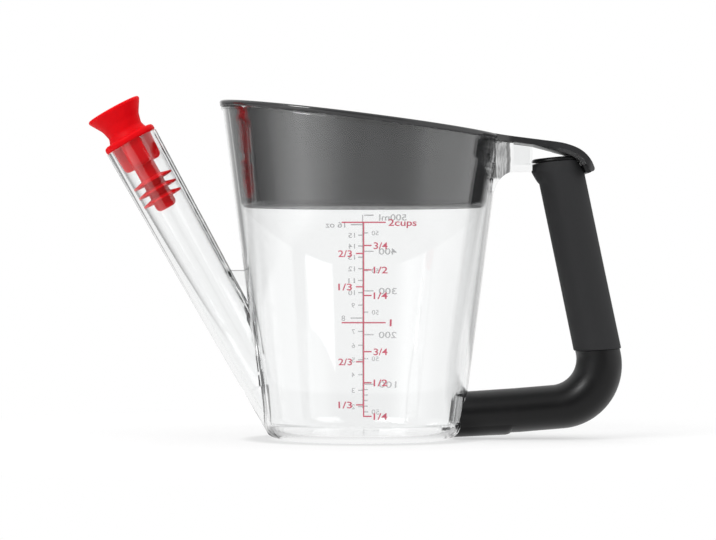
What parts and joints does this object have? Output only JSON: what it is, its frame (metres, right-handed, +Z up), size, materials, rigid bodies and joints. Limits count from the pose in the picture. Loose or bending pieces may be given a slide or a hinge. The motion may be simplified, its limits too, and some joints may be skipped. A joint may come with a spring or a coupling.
{
  "type": "gravy separator jug",
  "caption": "Clear measuring jug with a low slanted pouring spout, a plug for the spout, a perforated strainer lid with a tongue over the handle, and a soft-grip handle.",
  "frame": {"origin": "middle of the jug's flat base, on the jug's axis", "axes": "+Z up, +X towards the handle, the spout towards -X, the cup scale on the -Y side"},
  "size_m": [0.2079, 0.1106, 0.1337],
  "materials": {
    "jug_clear": "clear, polished",
    "handle_black": "satin black",
    "grip_rubber": "matt soft black",
    "lid_black": "glossy black",
    "stopper_red": "smooth red silicone",
    "ink_red": "printed ink",
    "ink_grey": "printed ink"
  },
  "bodies": {
    "jug": {"jug_body": "jug_clear", "handle_core": "handle_black", "handle_grip": "grip_rubber", "cup_scale": "ink_red", "ounce_scale": "ink_grey", "millilitre_scale": "ink_grey"},
    "lid": {"strainer_lid": "lid_black"},
    "stopper": {"spout_stopper": "stopper_red"}
  },
  "joints": [
    {"name": "lid_lift", "type": "slide", "parent": "jug", "child": "lid", "axis": [0, 0, 1], "range_m": [0, 0.06]},
    {"name": "stopper_pull", "type": "slide", "parent": "jug", "child": "stopper", "axis": [-0.4856, 0, 0.8742], "range_m": [0, 0.05]}
  ]
}
